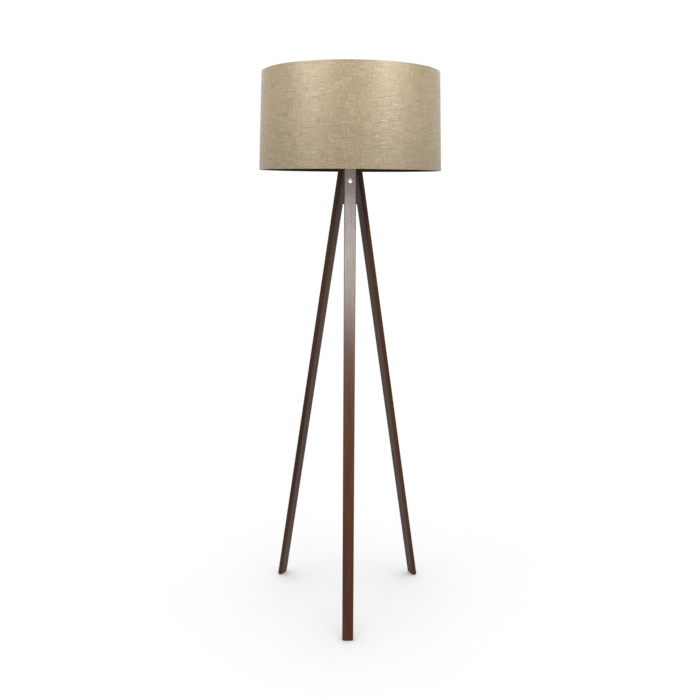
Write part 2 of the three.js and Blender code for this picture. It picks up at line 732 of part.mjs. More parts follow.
// Opal dome, open below: a ball that runs out tangentially to the housing's rim.
function bulbDiffuser() {
  const centreZ = BULB_TOP_Z - BULB_RADIUS;
  const rimZ = HOUSING_TOP_Z + GAP;
  const innerRadius = BULB_RADIUS - BULB_WALL;
  const steps = 7;
  const startAngle = -Math.asin((centreZ - rimZ) / BULB_RADIUS);
  const outer = [];
  const inner = [];
  for (let i = 0; i <= steps; i += 1) {
    const angle = startAngle + ((Math.PI / 2 - startAngle) * i) / steps;
    const onAxis = i === steps ? 0 : Math.cos(angle);
    outer.push([BULB_RADIUS * onAxis, centreZ + BULB_RADIUS * Math.sin(angle)]);
    inner.push([innerRadius * onAxis, centreZ + innerRadius * Math.sin(angle)]);
  }
  inner[0][1] = rimZ;
  const profile = [...inner.reverse(), ...outer];
  const points = profile.map(([radius, z]) => new THREE.Vector2(radius, z));
  return new THREE.LatheGeometry(points, ROUND).rotateX(Math.PI / 2);
}

// Round board with a circle of light chips on it.
function ledBoard() {
  const top = HOUSING_TOP_Z - 1;
  const chips = [];
  for (let i = 0; i < LED_COUNT; i += 1) {
    const chip = box(3.5, 2.8, 1.4, LED_CIRCLE_RADIUS, 0, top + 0.3);
    chips.push(chip.rotateZ((i / LED_COUNT) * 2 * Math.PI));
  }
  return join(rod(LED_BOARD_RADIUS, top - LED_BOARD_THICKNESS, top, ROUND), ...chips);
}

// Upright board with a capacitor on one side and a coil on the other.
function driverBoard() {
  const board = box(16, 1.2, 44, 0, 0, DRIVER_BOARD_Z);
  const capacitor = rod(4.5, -6, 6).translate(0, 4.6, DRIVER_BOARD_Z + 12);
  const coil = box(9, 7, 9, 0, -3.6, DRIVER_BOARD_Z - 4);
  return join(board, capacitor, coil);
}

add(lamp, 'bulb_cap', bulbCap(), capMetal);
add(lamp, 'bulb_cap_insulator', capInsulator(), blackGlass);
add(lamp, 'bulb_contact', bulbContact(), capMetal);
add(lamp, 'bulb_housing', bulbHousing(), whitePlastic);
add(lamp, 'bulb_diffuser', bulbDiffuser(), opal);
add(lamp, 'bulb_led_board', ledBoard(), zinc);
add(lamp, 'bulb_driver_board', driverBoard(), boardGreen);

export default lamp;
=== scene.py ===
"""Tripod floor lamp: looks, light and camera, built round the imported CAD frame."""

import json
import math

import bmesh
import bpy
from mathutils import Matrix, Vector, noise


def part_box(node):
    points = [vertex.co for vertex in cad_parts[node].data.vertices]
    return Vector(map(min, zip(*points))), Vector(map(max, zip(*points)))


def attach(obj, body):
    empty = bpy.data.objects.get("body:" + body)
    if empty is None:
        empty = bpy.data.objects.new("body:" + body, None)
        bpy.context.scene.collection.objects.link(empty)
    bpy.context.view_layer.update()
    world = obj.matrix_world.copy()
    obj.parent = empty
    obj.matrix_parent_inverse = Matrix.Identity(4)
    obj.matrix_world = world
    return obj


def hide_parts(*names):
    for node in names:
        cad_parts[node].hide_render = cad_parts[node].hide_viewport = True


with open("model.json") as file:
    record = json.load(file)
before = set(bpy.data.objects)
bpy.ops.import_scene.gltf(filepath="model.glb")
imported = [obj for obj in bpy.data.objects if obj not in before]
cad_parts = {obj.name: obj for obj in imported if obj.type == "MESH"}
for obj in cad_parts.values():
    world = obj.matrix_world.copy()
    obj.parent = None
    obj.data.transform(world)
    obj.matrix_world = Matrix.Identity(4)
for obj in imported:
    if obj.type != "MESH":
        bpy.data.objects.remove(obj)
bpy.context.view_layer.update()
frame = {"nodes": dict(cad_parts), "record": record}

MM = 0.001
TURN = 2 * math.pi
SHADE_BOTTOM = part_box("shade_bottom_hem")[0].z
SHADE_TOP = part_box("shade_top_hem")[1].z
BOTTOM_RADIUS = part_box("shade_bottom_hem")[1].x
TOP_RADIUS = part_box("shade_top_hem")[1].x

scene = bpy.context.scene


# ------------------------------------------------------------------ camera

# Metres and radians. The lens and sensor are in millimetres.
CAMERA_PLACE = (-0.0147, -2.1228, 1.2561)
CAMERA_YAW = 0.0083
CAMERA_PITCH_DOWN = 0.2197
CAMERA_ROLL = -0.0070
SENSOR_WIDTH = 36.0
LENS = 38.35


def make_camera():
    data = bpy.data.cameras.new("camera")
    data.sensor_width = SENSOR_WIDTH
    data.lens = LENS
    data.clip_start = 0.05
    data.clip_end = 60
    camera = bpy.data.objects.new("camera", data)
    scene.collection.objects.link(camera)
    level = math.cos(CAMERA_PITCH_DOWN)
    forward = Vector((
        math.sin(CAMERA_YAW) * level,
        math.cos(CAMERA_YAW) * level,
        -math.sin(CAMERA_PITCH_DOWN),
    ))
    right = Vector((math.cos(CAMERA_YAW), -math.sin(CAMERA_YAW), 0))
    down = forward.cross(right)
    rolled_right = right * math.cos(CAMERA_ROLL) + down * math.sin(CAMERA_ROLL)
    rolled_down = down * math.cos(CAMERA_ROLL) - right * math.sin(CAMERA_ROLL)
    axes = Matrix((rolled_right, -rolled_down, -forward)).transposed()
    camera.matrix_world = Matrix.Translation(CAMERA_PLACE) @ axes.to_4x4()
    scene.camera = camera


# ------------------------------------------------------------------ floor and light

FLOOR_RADIUS = 14
WALL_GLOW = 1.03
CEILING_GLOW = 0.7
WALL_TOP = 0.25
CEILING_EDGE = 0.55
OVERHEAD_STRENGTH = 0.92
OVERHEAD_SPREAD = 45
SHADE_AIM = (0, 0, 1.42)
LEG_AIM = (0, 0, 1.05)
BOLT_AIM = (0, 0, 1.26)


def make_floor(material):
    bpy.ops.mesh.primitive_circle_add(vertices=96, radius=FLOOR_RADIUS, fill_type="NGON")
    floor = bpy.context.object
    floor.name = "floor"
    floor.data.materials.append(material)
    return floor


def make_world():
    """A white studio: bright walls up to about 15 degrees, fading to a dimmer ceiling. WALL_TOP
    and CEILING_EDGE are the sines of the two elevations."""
    world = bpy.data.worlds.new("studio")
    world.use_nodes = True
    tree = world.node_tree
    background = tree.nodes["Background"]
    place = tree.nodes.new("ShaderNodeTexCoord")
    axes = tree.nodes.new("ShaderNodeSeparateXYZ")
    height = tree.nodes.new("ShaderNodeMapRange")
    height.inputs["From Min"].default_value = WALL_TOP
    height.inputs["From Max"].default_value = CEILING_EDGE
    height.inputs["To Min"].default_value = WALL_GLOW
    height.inputs["To Max"].default_value = CEILING_GLOW
    tree.links.new(place.outputs["Generated"], axes.inputs["Vector"])
    tree.links.new(axes.outputs["Z"], height.inputs["Value"])
    tree.links.new(height.outputs["Result"], background.inputs["Strength"])
    background.inputs["Color"].default_value = (1, 1, 1, 1)
    scene.world = world


def soft_light(name, azimuth, elevation, distance, target, size, watts):
    """A softbox at a bearing from its target: azimuth 0 is the front, 90 is the right."""
    data = bpy.data.lights.new(name, "AREA")
    data.shape = "RECTANGLE"
    data.size, data.size_y = size
    data.energy = watts
    light = bpy.data.objects.new(name, data)
    scene.collection.objects.link(light)
    turn = math.radians(azimuth)
    rise = math.radians(elevation)
    outward = Vector((
        math.sin(turn) * math.cos(rise), -math.cos(turn) * math.cos(rise), math.sin(rise),
    ))
    light.location = Vector(target) + outward * distance
    light.rotation_mode = "QUATERNION"
    light.rotation_quaternion = (-outward).to_track_quat("-Z", "Y")
    light.visible_camera = False
    return light


def overhead_light(strength, spread_degrees):
    data = bpy.data.lights.new("overhead", "SUN")
    data.energy = strength
    data.angle = math.radians(spread_degrees)
    light = bpy.data.objects.new("overhead", data)
    scene.collection.objects.link(light)
    light.location = (0, 0, 4)


def lights_only(light, piece):
    """Keeps a light to one piece, which nothing else shades from it."""
    target = bpy.data.collections.new(light.name + "_target")
    target.objects.link(piece)
    light.light_linking.receiver_collection = target
    light.light_linking.blocker_collection = target


def make_light(floor, front_leg, front_bolt):
    """An overhead light for everything, softboxes that leave the floor out, and one softbox each
    for the front leg and its bolt."""
    scene.view_settings.view_transform = "Standard"
    scene.view_settings.look = "None"
    make_world()
    overhead_light(OVERHEAD_STRENGTH, OVERHEAD_SPREAD)
    softboxes = [
        soft_light("left_softbox", -46, 32, 1.6, SHADE_AIM, (0.34, 0.6), 24),
        soft_light("right_softbox", 45, 32, 1.6, SHADE_AIM, (0.34, 0.6), 26),
        soft_light("far_right_softbox", 46, 14, 3.0, SHADE_AIM, (0.5, 1.3), 6),
        soft_light("back_left_softbox", -148, 32, 1.6, SHADE_AIM, (0.6, 0.6), 22),
        soft_light("back_right_softbox", 148, 32, 1.6, SHADE_AIM, (0.6, 0.6), 22),
    ]
    off_the_floor = bpy.data.collections.new("off_the_floor")
    off_the_floor.objects.link(floor)
    off_the_floor.collection_objects[0].light_linking.link_state = "EXCLUDE"
    for light in softboxes:
        light.light_linking.receiver_collection = off_the_floor
    leg_light = soft_light("leg_softbox", 0, 15, 3.0, LEG_AIM, (0.45, 0.85), 98)
    lights_only(leg_light, front_leg)
    bolt_light = soft_light("bolt_softbox", 0, 8, 2.0, BOLT_AIM, (1.6, 1.6), 30)
    lights_only(bolt_light, front_bolt)


# ------------------------------------------------------------------ shader helpers

class Shader:
    """One material's node tree, with short ways to add and join nodes."""

    def __init__(self, name, **values):
        self.material = bpy.data.materials.new(name)
        self.material.use_nodes = True
        self.tree = self.material.node_tree
        self.surface = self.tree.nodes["Principled BSDF"]
        for socket, value in values.items():
            self.surface.inputs[socket.replace("_", " ")].default_value = value

    def node(self, kind, inputs=None, **settings):
        made = self.tree.nodes.new("ShaderNode" + kind)
        for name, value in settings.items():
            setattr(made, name, value)
        for name, value in (inputs or {}).items():
            self.feed(made.inputs[name], value)
        return made

    def feed(self, socket, value):
        if isinstance(value, bpy.types.NodeSocket):
            self.tree.links.new(value, socket)
        else:
            socket.default_value = value

    def math(self, operation, *values):
        made = self.node("Math", operation=operation)
        for index, value in enumerate(values):
            self.feed(made.inputs[index], value)
        return made.outputs[0]

    def place(self):
        return self.node("TexCoord").outputs["Object"]

    def stretched(self, vector, scale, offset=(0, 0, 0)):
        inputs = {"Vector": vector, "Scale": scale, "Location": offset}
        return self.node("Mapping", inputs).outputs[0]

    def noise(self, vector, scale=1.0, detail=2.0, roughness=0.5):
        inputs = {"Vector": vector, "Scale": scale, "Detail": detail, "Roughness": roughness}
        return self.node("TexNoise", inputs).outputs["Fac"]

    def ramp(self, value, *stops):
        made = self.node("ValToRGB", {"Fac": value})
        elements = made.color_ramp.elements
        while len(elements) < len(stops):
            elements.new(0.5)
        for element, (position, colour) in zip(elements, stops):
            element.position = position
            element.color = (*colour, 1)
        return made.outputs["Color"]

    def arch(self, value):
        """Rises from 0 to 1 and falls back within each whole step of the value."""
        return self.math("SINE", self.math("MULTIPLY", self.math("FRACT", value), math.pi))

    def between(self, value, low, high, start=0.0, end=1.0):
        inputs = {
            "Value": value, "From Min": low, "From Max": high, "To Min": start, "To Max": end,
        }
        return self.node("MapRange", inputs).outputs["Result"]

    def mix(self, factor, first, second, blend="MIX"):
        made = self.node("Mix", data_type="RGBA", blend_type=blend)
        self.feed(made.inputs["Factor"], factor)
        self.feed(made.inputs[6], first)
        self.feed(made.inputs[7], second)
        return made.outputs[2]

    def tinted(self, colour, value):
        """The colour multiplied by a grey value from a node."""
        inputs = {"Red": value, "Green": value, "Blue": value}
        grey = self.node("CombineColor", inputs).outputs[0]
        return self.mix(1.0, (*colour, 1), grey, blend="MULTIPLY")

    def colour(self, value):
        self.feed(self.surface.inputs["Base Color"], value)

    def roughness(self, value):
        self.feed(self.surface.inputs["Roughness"], value)

    def bump(self, height, distance, strength):
        inputs = {"Height": height, "Distance": distance, "Strength": strength}
        made = self.node("Bump", inputs)
        normal = self.surface.inputs["Normal"]
        if normal.is_linked:
            self.tree.links.new(normal.links[0].from_socket, made.inputs["Normal"])
        self.tree.links.new(made.outputs["Normal"], normal)


# ------------------------------------------------------------------ materials

def wood(name, dark, middle, light, gloss, specular):
    """Lacquered timber. The third axis of the attribute "grain" runs along the fibres, and
    the attribute "edge" is 1 on the corners, where the stain is rubbed a little thinner."""
    shader = Shader(name, Specular_IOR_Level=specular)
    grain = shader.node("Attribute", attribute_name="grain").outputs["Vector"]
    edge = shader.node("Attribute", attribute_name="edge").outputs["Fac"]
    figure = shader.noise(shader.stretched(grain, (42, 60, 1.5)), detail=4, roughness=0.6)
    fibre_place = shader.stretched(grain, (560, 560, 9), (3, 1, 0))
    fibre = shader.noise(fibre_place, detail=3, roughness=0.65)
    pores = shader.noise(shader.stretched(grain, (950, 950, 30), (0, 5, 2)), detail=1)
    weighted = shader.math("MULTIPLY_ADD", figure, 0.7, shader.math("MULTIPLY", fibre, 0.3))
    tone = shader.ramp(weighted, (0.36, dark), (0.5, middle), (0.64, light))
    open_pores = shader.between(pores, 0.60, 0.72)
    pored = shader.mix(shader.math("MULTIPLY", open_pores, 0.55), tone, (*dark, 1))
    worn = shader.math("MULTIPLY", edge, shader.between(figure, 0.35, 0.7, 0.1, 0.6))
    shader.colour(shader.mix(worn, pored, (*light, 1)))
    shader.roughness(shader.between(fibre, 0.3, 0.7, gloss - 0.04, gloss + 0.06))
    relief = shader.math("SUBTRACT", fibre, shader.math("MULTIPLY", open_pores, 0.8))
    shader.bump(relief, 0.04 * MM, 0.5)
    return shader.material


LINEN_TONE = (0.162, 0.121, 0.065)
LINEN_SHEEN = (1.0, 0.9, 0.74, 1.0)
YARN_PITCH = 1.1 * MM
YARN_WANDER = 0.9 * MM
SLUB_WIDTH = 3.5 * MM
LEVEL_SLUB = 23 * MM
UPRIGHT_SLUB = 17 * MM
SLUB_CONTRAST = 0.24
# Painted shade: the cloth's colour is darkened by this factor at the lower rim, fading out over
# this height.
PAINTED_LOW_SHADE = 0.82
PAINTED_LOW_SHADE_REACH = 130 * MM


def slubs(shader, along, beside, length, seed):
    """Lengths of thicker yarn, +1, and of thinner yarn, -1, scattered along the threads."""
    rows = shader.math("DIVIDE", beside, SLUB_WIDTH)
    row = shader.math("FLOOR", rows)
    seeded = {"W": shader.math("ADD", row, seed)}
    row_shift = shader.node("TexWhiteNoise", seeded, noise_dimensions="1D").outputs["Value"]
    lengths = shader.math("DIVIDE", along, length)
    places = shader.math("MULTIPLY_ADD", row_shift, 9.0, lengths)
    cell = shader.node("CombineXYZ", {"X": row, "Y": shader.math("FLOOR", places), "Z": seed})
    chance = shader.node("TexWhiteNoise", {"Vector": cell.outputs[0]}).outputs["Value"]
    thick = shader.between(chance, 0.80, 0.92)
    thin = shader.between(chance, 0.20, 0.08)
    ends = shader.between(shader.arch(places), 0.1, 0.5)
    sides = shader.between(shader.arch(rows), 0.0, 0.6)
    kind = shader.math("SUBTRACT", thick, thin)
    return shader.math("MULTIPLY", kind, shader.math("MULTIPLY", ends, sides))


def linen(name, tone, sheen, specular, gloss):
    """Slubby plain weave. The UV map "cloth" runs round the shade and up it, in metres. Its colour
    carries painted shade: darker towards the lower rim and in the dips between the threads.
    """
    shader = Shader(name, Specular_IOR_Level=specular, Specular_Tint=sheen)
    cloth = shader.node("UVMap", uv_map="cloth").outputs[0]
    wander = shader.noise(shader.stretched(cloth, (240, 240, 1)), detail=2)
    shift = shader.math("MULTIPLY", shader.math("SUBTRACT", wander, 0.5), YARN_WANDER)
    axes = shader.node("SeparateXYZ", {"Vector": cloth})
    across = shader.math("ADD", axes.outputs["X"], shift)
    up = shader.math("SUBTRACT", axes.outputs["Y"], shift)

    warp_wave = shader.math("SINE", shader.math("MULTIPLY", across, math.pi / YARN_PITCH))
    weft_wave = shader.math("SINE", shader.math("MULTIPLY", up, math.pi / YARN_PITCH))
    warp_on_top = shader.between(shader.math("MULTIPLY", warp_wave, weft_wave), -0.15, 0.15)
    weft_on_top = shader.math("SUBTRACT", 1.0, warp_on_top)
    warp = shader.math("MULTIPLY", shader.math("ABSOLUTE", warp_wave), warp_on_top)
    weft = shader.math("MULTIPLY", shader.math("ABSOLUTE", weft_wave), weft_on_top)
    weave = shader.math("ADD", warp, weft)

    level_share = shader.between(weft_on_top, 0, 1, 0.55, 1.3)
    level = shader.math("MULTIPLY", slubs(shader, across, up, LEVEL_SLUB, 3.5), level_share)
    upright_share = shader.between(warp_on_top, 0, 1, 0.45, 1.1)
    upright = shader.math("MULTIPLY", slubs(shader, up, across, UPRIGHT_SLUB, 8.5), upright_share)
    slub = shader.math("ADD", level, upright)

    broad = shader.noise(shader.stretched(cloth, (14, 14, 1)), detail=2)
    patch = shader.noise(shader.stretched(cloth, (150, 150, 1)), detail=2)
    broad_tone = shader.between(broad, 0.3, 0.7, 0.97, 1.03)
    patch_tone = shader.between(patch, 0.3, 0.7, 0.94, 1.05)
    # Painted shade: the cloth is darker in the dips between the threads.
    painted_weave_shade = shader.between(weave, 0.1, 0.8, 0.84, 1.04)
    # Painted shade: the cloth gets darker towards the shade's lower rim.
    painted_shade_top = SHADE_BOTTOM + PAINTED_LOW_SHADE_REACH
    painted_low_shade = shader.between(axes.outputs["Y"], SHADE_BOTTOM, painted_shade_top, PAINTED_LOW_SHADE, 1)
    lightness = shader.math("MULTIPLY_ADD", slub, SLUB_CONTRAST, broad_tone)
    for share in (patch_tone, painted_weave_shade, painted_low_shade):
        lightness = shader.math("MULTIPLY", lightness, share)
    shader.colour(shader.tinted(tone, lightness))
    shader.roughness(shader.between(patch, 0.3, 0.7, gloss - 0.03, gloss + 0.03))
    shader.bump(weave, 0.16 * MM, 0.5)
    shader.bump(slub, 0.20 * MM, 0.5)
    return shader.material


def metal(name, tone, roughness):
    shader = Shader(name, Metallic=1.0)
    place = shader.place()
    fine = shader.noise(place, scale=900, detail=4, roughness=0.7)
    smudge = shader.noise(place, scale=60, detail=2)
    darker = tuple(0.82 * c for c in tone)
    shader.colour(shader.ramp(smudge, (0.3, darker), (0.65, tone)))
    shader.roughness(shader.between(fine, 0.3, 0.7, roughness - 0.05, roughness + 0.08))
    shader.bump(fine, 0.01 * MM, 0.4)
    return shader.material


def coated(name, tone, roughness, grain=1400, depth=0.02 * MM, variation=0.12, **values):
    """Moulded, painted or glazed: a fine surface grain and a faint drift of tone and gloss."""
    shader = Shader(name, **values)
    place = shader.place()
    fine = shader.noise(place, scale=grain, detail=2)
    broad = shader.noise(place, scale=35, detail=2)
    lighter = tuple(min(1, (1 + variation) * c) for c in tone)
    darker = tuple((1 - variation) * c for c in tone)
    shader.colour(shader.ramp(broad, (0.3, darker), (0.7, lighter)))
    shader.roughness(shader.between(broad, 0.3, 0.7, roughness - 0.05, roughness + 0.07))
    shader.bump(fine, depth, 0.5)
    return shader.material


def felt():
    shader = Shader("felt", Specular_IOR_Level=0.2, Roughness=0.95)
    fuzz = shader.noise(shader.place(), scale=2600, detail=4, roughness=0.8)
    shader.colour(shader.ramp(fuzz, (0.3, (0.012, 0.010, 0.009)), (0.7, (0.045, 0.038, 0.033))))
    shader.bump(fuzz, 0.3 * MM, 0.9)
    return shader.material


def floor_paint():
    shader = Shader("floor", Specular_IOR_Level=0.0, Roughness=1.0)
    broad = shader.noise(shader.place(), scale=0.8, detail=3)
    shader.colour(shader.ramp(broad, (0.3, (0.97, 0.97, 0.97)), (0.7, (0.985, 0.985, 0.985))))
    return shader.material


MATERIALS = {
    "walnut_wood": wood(
        "walnut", (0.022, 0.0075, 0.003), (0.038, 0.0135, 0.0055), (0.062, 0.024, 0.010),
        gloss=0.25, specular=0.13,
    ),
    "hub_wood": wood(
        "hub_wood", (0.022, 0.017, 0.013), (0.036, 0.028, 0.022), (0.054, 0.043, 0.035),
        gloss=0.45, specular=0.2,
    ),
    "beech_wood": wood(
        "beech", (0.36, 0.20, 0.09), (0.46, 0.27, 0.13), (0.55, 0.34, 0.17),
        gloss=0.6, specular=0.3,
    ),
    "shade_linen": linen("shade_linen", LINEN_TONE, LINEN_SHEEN, specular=1.3, gloss=0.44),
    "hem_linen": linen("hem_linen", LINEN_TONE, LINEN_SHEEN, specular=1.3, gloss=0.44),
    "dark_liner": coated(
        "dark_liner", (0.008, 0.007, 0.006), 0.85, grain=900, Specular_IOR_Level=0.15,
    ),
    "nickel": metal("nickel", (0.86, 0.78, 0.72), 0.34),
    "zinc_steel": metal("zinc_steel", (0.55, 0.56, 0.57), 0.38),
    "brass": metal("brass", (0.72, 0.48, 0.16), 0.30),
    "cap_metal": metal("cap_metal", (0.66, 0.66, 0.65), 0.30),
    "board_metal": metal("board_metal", (0.78, 0.78, 0.77), 0.42),
    "black_plastic": coated("black_plastic", (0.012, 0.012, 0.012), 0.45),
    "black_wire": coated("black_wire", (0.014, 0.013, 0.012), 0.42, grain=2200, depth=0.04 * MM),
    "ceramic": coated("ceramic", (0.72, 0.69, 0.62), 0.25, grain=500, variation=0.04),
    "cap_glass": coated("cap_glass", (0.008, 0.008, 0.009), 0.12, grain=300, variation=0.3),
    "white_plastic": coated("white_plastic", (0.80, 0.80, 0.77), 0.38, variation=0.03),
    "opal_plastic": coated(
        "opal_plastic", (0.84, 0.83, 0.79), 0.32, variation=0.02, Subsurface_Weight=0.3,
        Subsurface_Radius=(0.02, 0.02, 0.015), Subsurface_Scale=0.3,
    ),
    "board_green": coated("board_green", (0.02, 0.10, 0.04), 0.4, variation=0.2),
    "felt": felt(),
}


# ------------------------------------------------------------------ mesh helpers

def make_piece(name, shape, body, slot, replaces, place=None, sharp=35):
    """A closed mesh in its slot's material. Edges are smooth, except those where faces meet at
    over sharp degrees."""
    vertices, faces = shape
    if place is not None:
        vertices = [place @ v for v in vertices]
    mesh = bpy.data.meshes.new(name)
    mesh.from_pydata([tuple(v) for v in vertices], [], faces)
    work = bmesh.new()
    work.from_mesh(mesh)
    bmesh.ops.remove_doubles(work, verts=work.verts, dist=1e-7)
    bmesh.ops.recalc_face_normals(work, faces=work.faces)
    work.to_mesh(mesh)
    work.free()
    mesh.polygons.foreach_set("use_smooth", [True] * len(mesh.polygons))
    mesh.set_sharp_from_angle(angle=math.radians(sharp))
    mesh.materials.append(MATERIALS[slot])
    piece = bpy.data.objects.new(name, mesh)
    scene.collection.objects.link(piece)
    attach(piece, body)
    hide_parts(replaces)
    return piece


def loft(rings, close=False):
    """Skins rings of equal length. It closes on itself, or else its two ends are capped."""
    size = len(rings[0])
    vertices = [point for ring in rings for point in ring]
    faces = []
    for i in range(len(rings) if close else len(rings) - 1):
        low = i * size
        high = ((i + 1) % len(rings)) * size
        for j in range(size):
            k = (j + 1) % size
            faces.append((low + j, low + k, high + k, high + j))
    if not close:
        faces.append(tuple(reversed(range(size))))
        faces.append(tuple(range(len(vertices) - size, len(vertices))))
    return vertices, faces


def softened(corners, reach, steps=3):
    """A closed outline with each corner turned into an arc. Points on the axis x = 0 stay."""
    result = []
    for i, corner in enumerate(corners):
        here = Vector(corner)
        before = Vector(corners[i - 1]) - here
        after = Vector(corners[(i + 1) % len(corners)]) - here
        cut = min(reach, 0.45 * before.length, 0.45 * after.length)
        if abs(here.x) < 1e-7:
            result.append(here)
            continue
        start = here + before.normalized() * cut
        end = here + after.normalized() * cut
        for k in range(steps + 1):
            t = k / steps
            result.append(start * (1 - t) ** 2 + here * 2 * t * (1 - t) + end * t ** 2)
    return result


def dense(outline, step, low, high):
    """Adds points to an outline's runs that lie between two heights."""
    result = []
    for i, here in enumerate(outline):
        after = outline[(i + 1) % len(outline)]
        result.append(Vector(here))
        inside = low - 1e-7 <= min(here[1], after[1]) and max(here[1], after[1]) <= high + 1e-7
        count = math.ceil((Vector(after) - Vector(here)).length / step) if inside else 1
        for k in range(1, count):
            result.append(Vector(here).lerp(Vector(after), k / count))
    return result


def revolve(outline, segments, reshape=None):
    """Turns a closed outline of (radius, height) about Z. reshape(angle, radius, height) gives
    the radius at each point, for threads, ribs and flats."""
    rings = []
    for radius, height in outline:
        ring = []
        for i in range(segments):
            angle = TURN * i / segments
            real = reshape(angle, radius, height) if reshape and radius > 1e-7 else radius
            ring.append(Vector((real * math.cos(angle), real * math.sin(angle), height)))
        rings.append(ring)
    return loft(rings, close=True)


def fade(value, low, high, run):
    """0 outside low to high, and 1 inside, with a ramp of length run at each end."""
    return max(0.0, min(1.0, (value - low) / run, (high - value) / run))


def thread(pitch, depth, low, high, over):
    """Right-handed thread cut into walls of more than a given radius, between two heights."""
    def reshape(angle, radius, height):
        if radius < over:
            return radius
        wave = 0.5 - 0.5 * math.cos(TURN * height / pitch - angle)
        return radius - depth * wave * fade(height, low, high, pitch / 2)
    return reshape


def ribs(count, depth, low, high, over):
    """Ribs along Z, left by grooves cut into walls of more than a given radius, between two
    heights."""
    def reshape(angle, radius, height):
        if radius < over:
            return radius
        wave = (0.5 - 0.5 * math.cos(count * angle)) ** 2
        return radius - depth * wave * fade(height, low, high, 0.6 * MM)
    return reshape


def hexagon(corner_radius, angle):
    """Radius at an angle of a hexagon with a corner at 30 degrees."""
    from_middle = (angle - TURN / 12) % (TURN / 6) - TURN / 12
    return corner_radius * math.cos(TURN / 12) / math.cos(from_middle)


def tube_outline(inner, outer, low, high, soft):
    return softened([(inner, low), (outer, low), (outer, high), (inner, high)], soft)


def add_grain(piece, to_grain):
    """Stores each vertex's place in the timber: across, through and along the fibres."""
    data = piece.data.attributes.new("grain", "FLOAT_VECTOR", "POINT")
    for vertex, value in zip(piece.data.vertices, data.data):
        value.vector = to_grain(vertex.co)


def around_z(degrees):
    return Matrix.Rotation(math.radians(degrees), 4, "Z")


# ------------------------------------------------------------------ legs and feet

LEG_AZIMUTH = {"front": 0, "right": 120, "left": 240}
FOOT_RADIUS = 255 * MM
LEG_LEAN = 0.1744
LEG_TILT = math.atan(LEG_LEAN)
LEG_THICKNESS = 14.2 * MM
LEG_WIDTH_FOOT = 31 * MM
LEG_WIDTH_TOP = 32.7 * MM
LEG_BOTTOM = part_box("leg_front")[0].z
LEG_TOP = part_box("leg_front")[1].z
LEG_CORNER = 1.3 * MM
WEAR_WIDTH = 1.0 * MM


def leg_outer(height):
    return FOOT_RADIUS - LEG_LEAN * height


def leg_section(height, inset):
    """Level section of the front leg, its corners rounded, with a line of points beside each
    corner where the worn edge ends."""
    half = (LEG_WIDTH_FOOT + (LEG_WIDTH_TOP - LEG_WIDTH_FOOT) * height / LEG_TOP) / 2 - inset
    near = -leg_outer(height) + inset
    far = -leg_outer(height) + LEG_THICKNESS - inset
    steps = 4
    centres = (
        (half - LEG_CORNER, far - LEG_CORNER),
        (-half + LEG_CORNER, far - LEG_CORNER),
        (-half + LEG_CORNER, near + LEG_CORNER),
        (half - LEG_CORNER, near + LEG_CORNER),
    )
    points = []
    for quarter, (x, y) in enumerate(centres):
        start = Vector((math.cos(quarter * TURN / 4), math.sin(quarter * TURN / 4), 0))
        end = Vector((-start.y, start.x, 0))
        centre = Vector((x, y, height))
        points.append(centre + start * LEG_CORNER - end * WEAR_WIDTH)
        for k in range(steps + 1):
            angle = k / steps * TURN / 4
            points.append(centre + (start * math.cos(angle) + end * math.sin(angle)) * LEG_CORNER)
        points.append(centre + end * LEG_CORNER - start * WEAR_WIDTH)
    return points


def make_leg(side, azimuth, offset):
    soft = 0.9 * MM
    stations = [(LEG_BOTTOM, soft), (LEG_BOTTOM + 0.3 * soft, 0.3 * soft), (LEG_BOTTOM + soft, 0)]
    stations.append((LEG_BOTTOM + soft + WEAR_WIDTH, 0))
    bays = 40
    for i in range(1, bays):
        stations.append((LEG_BOTTOM + (LEG_TOP - LEG_BOTTOM) * i / bays, 0))
    stations.append((LEG_TOP - soft - WEAR_WIDTH, 0))
    stations += [(LEG_TOP - soft, 0), (LEG_TOP - 0.3 * soft, 0.3 * soft), (LEG_TOP, soft)]
    turn = around_z(azimuth)
    shape = loft([leg_section(height, inset) for height, inset in stations])
    piece = make_piece(f"leg_bar_{side}", shape, "stand", "walnut_wood", f"leg_{side}", turn)
    back = turn.inverted()

    def to_grain(point):
        local = back @ point
        return (local.x + offset, -local.y - leg_outer(local.z), local.z + offset)

    add_grain(piece, to_grain)
    edge = piece.data.attributes.new("edge", "FLOAT", "POINT")
    size = len(leg_section(0, 0))
    per_corner = size // 4
    for vertex, value in zip(piece.data.vertices, edge.data):
        ring, place = divmod(vertex.index, size)
        on_corner = 0 < place % per_corner < per_corner - 1
        on_end = ring < 3 or ring > len(stations) - 4
        value.value = 1.0 if on_corner or on_end else 0.0
    return piece


def make_glide(side, azimuth):
    low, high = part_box("foot_glide_front")
    end = (high.y - low.y) / 2
    half = (high.x - low.x) / 2 - end
    middle = (low.y + high.y) / 2
    rings = []
    for height, inset in ((0, 0.5), (0.25, 0.12), (0.6, 0), (1.5, 0), (1.85, 0.12), (2, 0.4)):
        ring = []
        for sign in (1, -1):
            for k in range(13):
                angle = (k / 12 - 0.5) * math.pi
                reach = end - inset * MM
                x = sign * (half + reach * math.cos(angle))
                ring.append(Vector((x, middle + sign * reach * math.sin(angle), height * MM)))
        rings.append(ring)
    make_piece(
        f"felt_pad_{side}", loft(rings), "stand", "felt", f"foot_glide_{side}", around_z(azimuth),
    )


# ------------------------------------------------------------------ hub, bolts and dowels

HUB_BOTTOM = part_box("hub_block")[0].z
HUB_GAP = 0.3 * MM
HUB_HALF_WIDTH = 15.7 * MM
HUB_BORE = 5.6 * MM
BOLT_HEIGHT = 1263 * MM
BOLT_HEAD = 6.6 * MM
BOLT_SHANK = 3 * MM
INSERT_LENGTH = 11 * MM
DOWEL_HEIGHT = 1228 * MM


